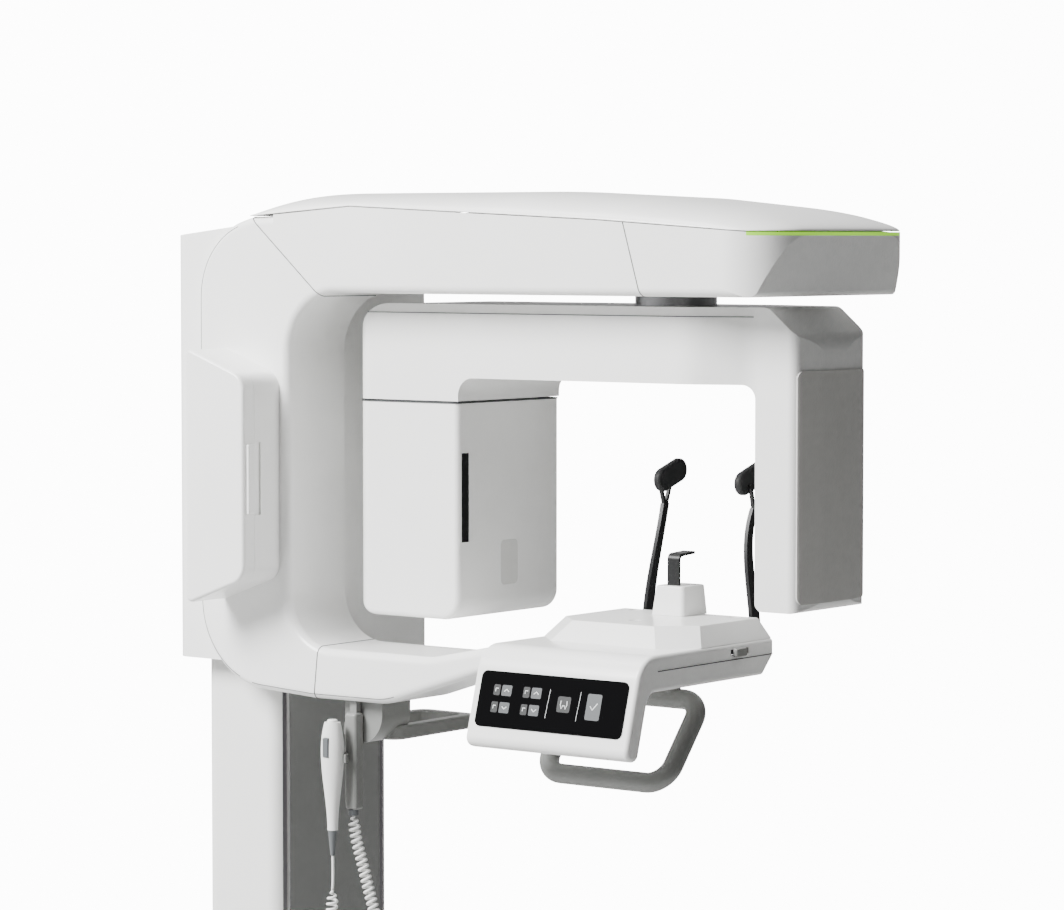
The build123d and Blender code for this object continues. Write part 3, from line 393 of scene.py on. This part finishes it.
def tube_round(points, radius, sides=10):
    """A round tube along points, with a cap at each end: rings of sides points, turned with the line."""
    tangents = np.gradient(points, axis=0)
    tangents /= np.linalg.norm(tangents, axis=1)[:, None]
    side = np.empty_like(points)
    side[0] = np.cross(tangents[0], (0.0, 1.0, 0.0))
    for i in range(1, len(points)):
        leaning = side[i - 1] - tangents[i] * np.dot(side[i - 1], tangents[i])
        side[i] = leaning / np.linalg.norm(leaning)
    other = np.cross(tangents, side)
    angle = np.linspace(0, 2 * np.pi, sides, endpoint=False)
    ring = side[:, None] * np.cos(angle)[None, :, None] + other[:, None] * np.sin(angle)[None, :, None]
    rings = (points[:, None] + radius * ring).reshape(-1, 3)
    faces = grid_faces(len(points), sides, wrap=True).tolist()
    last = (len(points) - 1) * sides
    faces.append(list(range(sides))[::-1])
    faces.append([last + k for k in range(sides)])
    return rings, faces


def tube_piece(name, points, radius, material, body):
    """A closed round tube along points, riding on a body."""
    rings, faces = tube_round(points, radius)
    mesh = bpy.data.meshes.new(name)
    mesh.from_pydata(rings.tolist(), [], faces)
    mesh.polygons.foreach_set("use_smooth", [True] * len(mesh.polygons))
    mesh.materials.append(material)
    piece = bpy.data.objects.new(name, mesh)
    bpy.context.scene.collection.objects.link(piece)
    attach(piece, body)
    return piece


wire_line = helix_along(centre_line, LEAD_LENGTH, PITCH, (COIL_OUTSIDE - WIRE) / 2)
curly_cord = tube_piece("curly_cord", wire_line, WIRE / 2, PALE, "carriage")
bm = bmesh.new()
bm.from_mesh(curly_cord.data)
bmesh.ops.recalc_face_normals(bm, faces=bm.faces)
bm.to_mesh(curly_cord.data)
bm.free()
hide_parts("cord_lead", "cord_coil")

# %% [markdown]
# ## The arm's domed lid
# CAD draws the lid with flat facets. The real one is a single moulding that crowns gently. Its height above
# the rim is the crown's height times a bulge across the arm and another along it, both flat in the middle
# and steep at the edges. The same outline is kept, with its rounded corners and bowed end.

# %% Lid surface
lid_low, lid_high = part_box("arm_lid")
ARM_HALF = lid_high.y
CORNER = 0.080
BOW = 0.004
RIM_STATIONS = (0.074, 0.265, 0.708, 0.950, 1.0)
RIM_HEIGHTS = (1.9141, 1.928, 1.907, 1.891, 1.891)
CROWN_STATIONS = (0.074, 0.54, 0.75, 0.93, 1.0)
CROWN_HEIGHTS = (1.948, 1.948, 1.938, 1.920, 1.912)


def lid_end(y):
    """How far out the lid reaches at each y: a bowed middle, then a quarter circle at each corner."""
    flat = ARM_HALF - CORNER
    over = np.clip((np.abs(y) - flat) / CORNER, 0, 1)
    middle = BOW * np.clip(1 - (y / flat) ** 2, 0, 1)
    return lid_high.x - BOW + middle - CORNER * (1 - np.sqrt(1 - over**2))


def bulge(t, power):
    """1 in the middle and 0 where t reaches 1, flat on top and steep at the edge."""
    return (1 - np.clip(t, 0, 1) ** power) ** 0.62


v = np.sin(np.linspace(-np.pi / 2, np.pi / 2, 61))
u = 0.5 - 0.5 * np.cos(np.linspace(0, np.pi, 121))
across = ARM_HALF * v[None, :] + 0 * u[:, None]
out = lid_low.x + u[:, None] * (lid_end(across) - lid_low.x)
rim = np.interp(out, RIM_STATIONS, RIM_HEIGHTS)
crown = np.interp(out, CROWN_STATIONS, CROWN_HEIGHTS)
root_side = np.clip((0.200 - out) / (0.200 - lid_low.x), 0, 1)
end_side = np.clip((out - 0.860) / (lid_end(across) - 0.860), 0, 1)
LIP = 0.0010
dome = bulge(np.abs(v)[None, :], 3.2) * bulge(end_side, 2.6) * bulge(root_side, 2.4)
height = rim + LIP + (crown - rim - LIP) * dome
lid_points = np.stack([out, across, height], -1).reshape(-1, 3)
arm_crown = piece_from("arm_crown", lid_points, grid_faces(len(u), len(v)), WHITE, "carriage")
wall = arm_crown.modifiers.new("wall", "SOLIDIFY")
wall.thickness = 1.2 * MM
wall.offset = -1.0
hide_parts("arm_lid")
print("lid points", len(lid_points))

# %% [markdown]
# ## Seams
# Where two mouldings meet there is a shadow gap of about a millimetre. A thin dark cord laid in each joint
# shows it. Each one is found by cutting a copy of the moulding with the joint's plane, and taking the line
# of the cut.

# %% Seam lines
def cut_line(name, centre, normal):
    """The edges where a plane cuts a node's mesh, as points and pairs."""
    bm = bmesh.new()
    bm.from_mesh(nodes[name].data)
    bmesh.ops.remove_doubles(bm, verts=bm.verts, dist=1e-6)
    everything = bm.verts[:] + bm.edges[:] + bm.faces[:]
    cut = bmesh.ops.bisect_plane(bm, geom=everything, plane_co=centre, plane_no=normal, dist=1e-7)
    edges = [g for g in cut["geom_cut"] if isinstance(g, bmesh.types.BMEdge)]
    pairs = [(tuple(e.verts[0].co), tuple(e.verts[1].co)) for e in edges]
    bm.free()
    return pairs


def seam_piece(name, node, centre, normal, body, keep=None, width=1.1 * MM):
    """Thin square bars along every edge of a cut, half sunk in the surface."""
    pairs = cut_line(node, centre, normal)
    if keep:
        pairs = [p for p in pairs if keep(p[0]) and keep(p[1])]
    a = np.array([p[0] for p in pairs])
    b = np.array([p[1] for p in pairs])
    along_cut = b - a
    length = np.linalg.norm(along_cut, axis=1)
    use = length > 1e-5
    a, b, along_cut = a[use], b[use], along_cut[use] / length[use][:, None]
    flat = np.asarray(normal, float) / np.linalg.norm(normal)
    flat = np.repeat(flat[None, :], len(a), 0)
    up = np.cross(along_cut, flat)
    corners = [(1, 1), (-1, 1), (-1, -1), (1, -1)]
    half = width / 2
    ends = [a - along_cut * half * 0.4, b + along_cut * half * 0.4]
    around = [e + half * (i * flat + j * up) for e in ends for i, j in corners]
    points = np.stack(around, 1).reshape(-1, 3)
    sides = [[0, 1, 5, 4], [1, 2, 6, 5], [2, 3, 7, 6], [3, 0, 4, 7], [3, 2, 1, 0], [4, 5, 6, 7]]
    faces = (np.arange(len(a))[:, None, None] * 8 + np.array(sides)[None]).reshape(-1, 4)
    seam = piece_from(name, points, faces, SEAM, body, smooth=False)
    bm = bmesh.new()
    bm.from_mesh(seam.data)
    bmesh.ops.recalc_face_normals(bm, faces=bm.faces)
    bm.to_mesh(seam.data)
    bm.free()
    print(name, "bars", len(a))
    return seam


def outer_rim(p):
    """True on the C frame's outer edge: its back and its underside."""
    return p[0] < 0.05 or p[2] < 1.225


seam_piece("diagonal_seam", "c_frame_cover", (0.1391, 0, 1.8577), (113, 0, 131), "carriage")
seam_piece("end_cap_seam", "arm_end_cap", (0.7513, 0, 1.907), (106, 0, 31), "carriage")
seam_piece("lower_seam", "lower_arm_cover", (0.1985, 0, 1.245), (190, 0, -20), "carriage")
FACE_Y = (0, -0.189, 0)
OUT_Y = (0, 1, 0)
seam_piece("frame_rim_seam", "c_frame_cover", FACE_Y, OUT_Y, "carriage", outer_rim, 0.8 * MM)
seam_piece("arm_rim_seam", "lower_arm_cover", FACE_Y, OUT_Y, "carriage", outer_rim, 0.8 * MM)
table_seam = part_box("table_cover")[0].z + 0.0001
seam_piece("table_seam", "table_cover", (0, 0, table_seam), (0, 0, 1), "carriage")
gantry_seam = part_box("gantry_lid")[0].z + 0.0001
seam_piece("gantry_lid_seam", "gantry_lid", (0, 0, gantry_seam), (0, 0, 1), "gantry")
generator_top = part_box("generator_cover")[1].z - 0.0004
seam_piece("generator_seam", "generator_cover", (0, 0, generator_top), (0, 0, 1), "gantry", None, 2 * MM)

# %% [markdown]
# ## The console's keys
# Keys on a printed glass are shapes of paint behind it. Thin tiles, a fifth of a millimetre proud, give
# them crisp edges that survive in the exported mesh. Their places are measured across and up the leaning
# panel.

# %% Panel axes
glass_low, glass_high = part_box("touch_panel")
LEAN = math.radians(16)
panel_centre = (np.array(glass_low) + np.array(glass_high)) / 2
panel_up = np.array([0.0, math.sin(LEAN), math.cos(LEAN)])
panel_out = np.array([0.0, -math.cos(LEAN), math.sin(LEAN)])
front = panel_centre + panel_out * 0.62 * MM


def on_panel(flat, lift):
    """Points given in millimetres across and up the panel, lifted off its face."""
    flat = np.asarray(flat, float) * MM
    return front + flat[:, :1] * np.array([1.0, 0, 0]) + flat[:, 1:2] * panel_up + lift * MM * panel_out


def rounded(width, height, radius, steps=6):
    """The outline of a rounded rectangle, from four quarter circles."""
    angles = np.concatenate([np.linspace(q, q + np.pi / 2, steps) for q in np.arange(4) * np.pi / 2])
    cx = np.repeat([1, -1, -1, 1], steps) * (width / 2 - radius)
    cy = np.repeat([1, 1, -1, -1], steps) * (height / 2 - radius)
    return np.stack([cx + radius * np.cos(angles), cy + radius * np.sin(angles)], -1)


def stroke(points, width):
    """A flat band of one width along a bent line: each point moved to both sides, square to the line."""
    points = np.asarray(points, float)
    way = np.gradient(points, axis=0)
    way /= np.linalg.norm(way, axis=1)[:, None]
    side = np.stack([-way[:, 1], way[:, 0]], -1) * width / 2
    return np.concatenate([points + side, (points - side)[::-1]])


def plate(name, outlines, low, high, material):
    """Several flat outlines, each made a thin plate between two heights over the glass."""
    points = []
    faces = []
    for outline in outlines:
        n = len(outline)
        first = sum(len(p) for p in points)
        points += [on_panel(outline, low), on_panel(outline, high)]
        faces.append([first + n + k for k in range(n)])
        faces.append([first + k for k in range(n)][::-1])
        for k in range(n):
            after = (k + 1) % n
            faces.append([first + k, first + after, first + n + after, first + n + k])
    mesh = bpy.data.meshes.new(name)
    mesh.from_pydata(np.concatenate(points).tolist(), [], faces)
    mesh.materials.append(material)
    piece = bpy.data.objects.new(name, mesh)
    bpy.context.scene.collection.objects.link(piece)
    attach(piece, "carriage")
    return piece


# %% Keys and their marks
KEY_GREY = grey_satin("printed_key_grey", "#484B4D", "#505355", 0.4)
KEY_DARK = grey_satin("printed_key_dark", "#121415", "#171A1B", 0.4)
KEY_WHITE = grey_satin("printed_mark_white", "#DADCDC", "#E4E6E6", 0.4)
key_outline = rounded(17, 15, 2)
small_outline = rounded(11, 15, 2)
pairs = [(-78, -95), (-27, -44)]
rows = [(13, 1), (-11, -1)]
keys = [key_outline + (x, y) for x, _ in pairs for y, _ in rows]
keys.append(rounded(24, 36, 3) + (72, 1))
plate("console_keys", keys, 0.0, 0.22, KEY_GREY)
labels = [small_outline + (x, y) for _, x in pairs for y, _ in rows]
labels.append(rounded(22, 22, 3) + (22, 1))
plate("console_labels", labels, 0.0, 0.18, KEY_DARK)
marks = []
for x, small_x in pairs:
    for y, way in rows:
        chevron = np.array([(-4, -1.6 * way), (0, 1.8 * way), (4, -1.6 * way)]) + (x, y)
        marks.append(stroke(chevron, 1.1))
        hook = np.array([(-2, -2.2), (-2, 2.2), (2.4, 2.2)]) + (small_x, y)
        marks.append(stroke(hook, 1.0))
tick = np.array([(-5.5, 1), (-1.5, -4), (6, 5.5)]) + (72, 1)
marks.append(stroke(tick, 1.3))
crown_half = [(-5, 5), (-5.5, 0), (-3.5, -6), (-1.2, -1.5)]
tooth = np.array(crown_half + [(-x, y) for x, y in crown_half[::-1]]) + (22, 1)
marks.append(stroke(tooth, 1.1))
for x in (-5, 47):
    marks.append(stroke(np.array([(x - 1, -20), (x, 0), (x + 1, 20)]), 0.5))
plate("console_marks", marks, 0.0, 0.30, KEY_WHITE)

# %% [markdown]
# ## Floor and light
# A broad soft key from the operator's side makes the covers glow, and the side that faces away from it
# falls to grey, which draws the machine's planes. The floor and the surroundings are plain and pale.

# %% Stage
FLOOR_RADIUS = 3.2
FLOOR_SIDES = 96
around = np.linspace(0, 2 * np.pi, FLOOR_SIDES, endpoint=False)
floor_points = np.stack([np.cos(around), np.sin(around), -0.0001 + 0 * around], -1) * FLOOR_RADIUS
floor_mesh = bpy.data.meshes.new("pale_floor")
floor_mesh.from_pydata(floor_points.tolist(), [], [list(range(FLOOR_SIDES))])
FLOOR = finish_of("matt_pale_floor", "#C9C9C8", roughness=0.8)[0]
floor_mesh.materials.append(FLOOR)
floor = bpy.data.objects.new("pale_floor", floor_mesh)
bpy.context.scene.collection.objects.link(floor)


def soft_light(name, place, aim, size, power):
    """A square area light at a place, turned to its aim."""
    data = bpy.data.lights.new(name, "AREA")
    data.shape = "SQUARE"
    data.size = size
    data.energy = power
    lamp = bpy.data.objects.new(name, data)
    bpy.context.scene.collection.objects.link(lamp)
    lamp.location = place
    lamp.rotation_euler = (Vector(aim) - Vector(place)).to_track_quat("-Z", "Y").to_euler()
    return lamp


MIDDLE = (0.4, 0.0, 1.5)
soft_light("key_light", (-1.3, -4.1, 4.9), MIDDLE, 2.5, 1000)
soft_light("top_light", (-0.9, -0.4, 5.4), MIDDLE, 2.0, 90)

# %% Surroundings
world = bpy.data.worlds.new("pale_surroundings")
bpy.context.scene.world = world
world.use_nodes = True
sky = world.node_tree
background = sky.nodes["Background"]
background.inputs["Color"].default_value = (1.0, 1.0, 1.0, 1.0)
direction = add(sky, "ShaderNodeTexCoord")
split = add(sky, "ShaderNodeSeparateXYZ", links={"Vector": direction.outputs["Generated"]})
fall = add(
    sky,
    "ShaderNodeMapRange",
    {"From Min": -0.8, "From Max": 0.3, "To Min": 1.0, "To Max": 0.14},
    {"Value": split.outputs["X"]},
    interpolation_type="SMOOTHSTEP",
)
seen = add(sky, "ShaderNodeLightPath")
paper = add(
    sky,
    "ShaderNodeMath",
    {1: 12.0},
    {0: seen.outputs["Is Camera Ray"], 2: fall.outputs["Result"]},
    operation="MULTIPLY_ADD",
)
sky.links.new(paper.outputs["Value"], background.inputs["Strength"])
